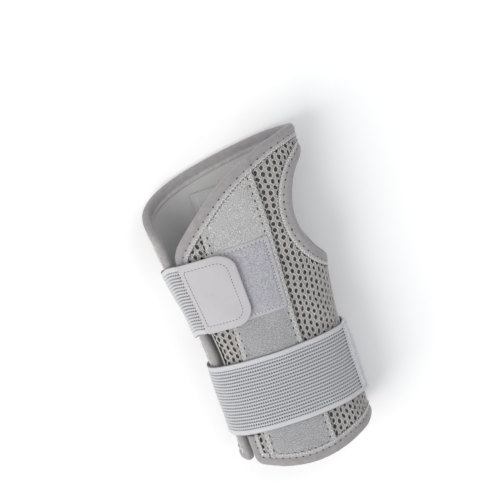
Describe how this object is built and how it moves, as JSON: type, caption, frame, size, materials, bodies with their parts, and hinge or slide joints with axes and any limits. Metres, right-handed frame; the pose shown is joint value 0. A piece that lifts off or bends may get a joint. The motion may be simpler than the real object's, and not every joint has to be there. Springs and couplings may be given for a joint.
{
  "type": "wrist splint",
  "caption": "Right-hand wrist splint with a thumb hole, air-mesh body, stay pockets, a wide wrist strap and a hand strap with a rounded tab.",
  "frame": {"origin": "middle of the splint's length on the outer face of the flat back panel, on which it lies", "axes": "+X towards the thumb side, +Y towards the fingers, +Z towards the palm"},
  "size_m": [0.0912, 0.1679, 0.0517],
  "materials": {
    "air_mesh": "open hexagonal 3-D spacer mesh",
    "lining": "brushed knit",
    "binding": "smooth knit tape, folded and stitched",
    "velour": "fine brushed loop velour",
    "seam_tape": "narrow tape with zigzag thread",
    "loop_patch": "fuzzy loop tape",
    "tab": "smooth matt microfibre",
    "elastic": "ribbed woven elastic",
    "hook_tape": "nylon hook tape",
    "aluminium": "mill finish",
    "spring_steel": "plain strip",
    "dipped_cap": "dipped plastic"
  },
  "bodies": {
    "back_half": {"back_mesh": "air_mesh", "back_lining": "lining", "back_panel": "velour", "back_seam_tape_radial": "seam_tape", "back_seam_tape_ulnar": "seam_tape", "back_hem_binding": "binding", "back_hand_binding": "binding", "back_edge_binding": "binding", "thumb_binding_back": "binding", "side_loop_patch": "loop_patch", "back_stay_pocket": "lining", "wrist_strap_anchor": "elastic", "hand_strap_anchor": "elastic"},
    "palm_half": {"palm_mesh": "air_mesh", "palm_lining": "lining", "palm_panel": "velour", "palm_seam_tape_ulnar": "seam_tape", "palm_seam_tape_radial": "seam_tape", "palm_loop_patch": "loop_patch", "palm_hem_binding": "binding", "palm_hand_binding": "binding", "palm_edge_binding": "binding", "thumb_binding_palm": "binding", "palm_stay_pocket": "lining"},
    "palm_stay": {"palm_stay": "aluminium", "palm_stay_cap_forearm": "dipped_cap", "palm_stay_cap_hand": "dipped_cap"},
    "back_stay_radial": {"back_stay_radial": "spring_steel"},
    "back_stay_ulnar": {"back_stay_ulnar": "spring_steel"},
    "wrist_strap": {"wrist_strap": "elastic"},
    "wrist_strap_tip": {"wrist_strap_tip": "elastic", "wrist_strap_hook": "hook_tape"},
    "hand_strap": {"hand_strap": "elastic"},
    "hand_tab": {"hand_tab": "tab", "hand_tab_backing": "elastic", "hand_tab_hook": "hook_tape"}
  },
  "joints": [
    {"name": "palm_opening", "type": "hinge", "parent": "back_half", "child": "palm_half", "pos_m": [0.0417, 0, 0.02225], "axis": [0.0523, 0.9985, -0.018], "range_deg": [0, 30]},
    {"name": "wrist_strap_lift", "type": "hinge", "parent": "back_half", "child": "wrist_strap", "pos_m": [-0.03401, -0.0416, 0.00737], "axis": [-0.0005, -1, 0.0081], "range_deg": [0, 60]},
    {"name": "wrist_strap_unwrap", "type": "hinge", "parent": "wrist_strap", "child": "wrist_strap_tip", "pos_m": [0.03883, -0.0416, 0.02876], "axis": [-0.0003, -0.9998, 0.0214], "range_deg": [0, 120]},
    {"name": "hand_strap_lift", "type": "hinge", "parent": "back_half", "child": "hand_strap", "pos_m": [-0.03757, 0.0156, 0.0067], "axis": [0.1207, -0.9926, 0.0128], "range_deg": [0, 60]},
    {"name": "hand_tab_peel", "type": "hinge", "parent": "hand_strap", "child": "hand_tab", "pos_m": [-0.03556, 0.0156, 0.04085], "axis": [0.1092, -0.9937, 0.0241], "range_deg": [0, 100]},
    {"name": "palm_stay_slide", "type": "slide", "parent": "palm_half", "child": "palm_stay", "axis": [0, -0.9993, 0.0384], "range_m": [0, 0.13]},
    {"name": "back_stay_radial_slide", "type": "slide", "parent": "back_half", "child": "back_stay_radial", "axis": [0, -1, 0], "range_m": [0, 0.15]},
    {"name": "back_stay_ulnar_slide", "type": "slide", "parent": "back_half", "child": "back_stay_ulnar", "axis": [0, -1, 0], "range_m": [0, 0.15]}
  ],
  "couplings": [
    {"joint": "wrist_strap_lift", "follows": "palm_opening", "ratio": 2},
    {"joint": "wrist_strap_unwrap", "follows": "palm_opening", "ratio": 4},
    {"joint": "hand_strap_lift", "follows": "palm_opening", "ratio": 2}
  ]
}
